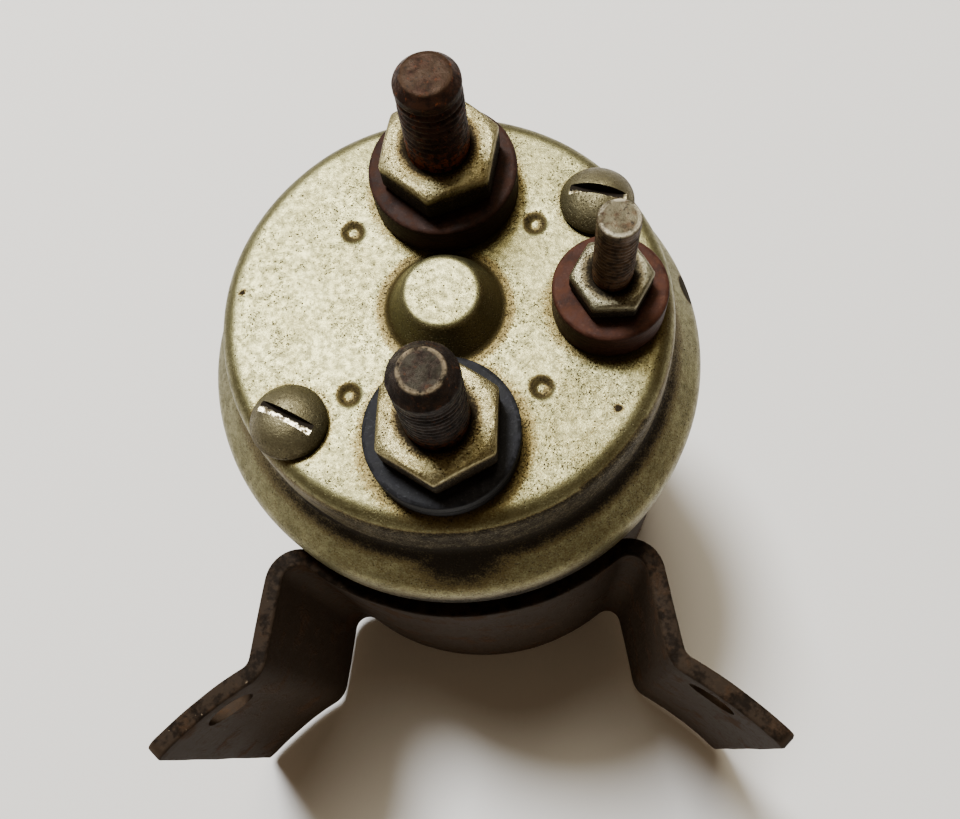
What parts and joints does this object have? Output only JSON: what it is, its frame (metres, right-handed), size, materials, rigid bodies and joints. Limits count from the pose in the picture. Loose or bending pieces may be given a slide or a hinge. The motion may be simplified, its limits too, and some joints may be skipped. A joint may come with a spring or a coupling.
{
  "type": "starter solenoid switch",
  "caption": "Round metal-can starter solenoid on a footed strap bracket, with threaded stud terminals, hex nuts and a sprung plunger that lifts a contact disc.",
  "frame": {"origin": "centre of the can's flat rear end", "axes": "+Z along the can towards the terminals, -Y towards the bracket's feet, +X towards the control terminal"},
  "size_m": [0.0866, 0.0886, 0.1101],
  "materials": {
    "plated_steel": "aged zinc-type plating, satin, fine dark pits and brown grime in the corners",
    "black_paint": "old dark paint, satin, worn to brown metal on its edges",
    "rusty_strap": "dark brown-black paint with rust tints and chipped edges",
    "rusty_stud": "dark brown rusted thread, worn to grey on the tip",
    "dull_stud": "dull oxidised plating",
    "yellow_plated_nut": "yellowish plating, pitted and grimy",
    "screw_steel": "olive-grey oxidised steel, brighter in the slot",
    "dark_fibre": "purple-brown vulcanised fibre, matt",
    "slate_fibre": "slate-grey vulcanised fibre, matt",
    "red_fibre": "red-brown vulcanised fibre, matt",
    "moulded_board": "brown phenolic moulding",
    "bobbin_plastic": "dark moulded bobbin",
    "copper_wire": "enamelled copper winding",
    "wrap_paper": "varnished paper wrap",
    "brass": "drawn brass",
    "soft_iron": "turned soft iron",
    "copper_contact": "stamped copper",
    "spring_steel": "bright spring wire and stampings",
    "cork": "pressed cork",
    "cloth_sleeve": "varnished cloth sleeving over wire"
  },
  "bodies": {
    "housing": {"battery_insulator": "dark_fibre", "battery_nut": "yellow_plated_nut", "battery_stud": "rusty_stud", "can_body": "black_paint", "cap_gasket": "cork", "cap_screw_left": "screw_steel", "cap_screw_right": "screw_steel", "coil_bobbin": "bobbin_plastic", "coil_winding": "copper_wire", "control_insulator": "red_fibre", "control_lead": "cloth_sleeve", "control_lug": "brass", "control_nut": "yellow_plated_nut", "control_stud": "dull_stud", "end_cap": "plated_steel", "fixed_core": "soft_iron", "flux_plate": "soft_iron", "ground_lead": "cloth_sleeve", "guide_sleeve": "brass", "mounting_bracket": "rusty_strap", "plunger_stop": "red_fibre", "return_spring": "spring_steel", "starter_insulator": "slate_fibre", "starter_nut": "yellow_plated_nut", "starter_stud": "rusty_stud", "terminal_board": "moulded_board", "winding_wrap": "wrap_paper"},
    "plunger_assembly": {"plunger": "soft_iron", "plunger_rod": "brass", "disc_clip": "spring_steel", "spring_seat": "spring_steel", "contact_spring": "spring_steel"},
    "contact_carrier": {"contact_disc": "copper_contact", "disc_washer_lower": "red_fibre", "disc_washer_upper": "red_fibre"}
  },
  "joints": [
    {"name": "plunger_travel", "type": "slide", "parent": "housing", "child": "plunger_assembly", "axis": [0, 0, 1], "range_m": [0, 0.0038], "stiffness_N_per_m": 2000, "springref_m": -0.004, "deforming": ["return_spring"]},
    {"name": "disc_overtravel", "type": "slide", "parent": "plunger_assembly", "child": "contact_carrier", "axis": [0, 0, 1], "range_m": [-0.0008, 0], "deforming": ["contact_spring"]}
  ],
  "couplings": [
    {"joint": "disc_overtravel", "follows": "plunger_travel", "ratio": -0.2}
  ]
}
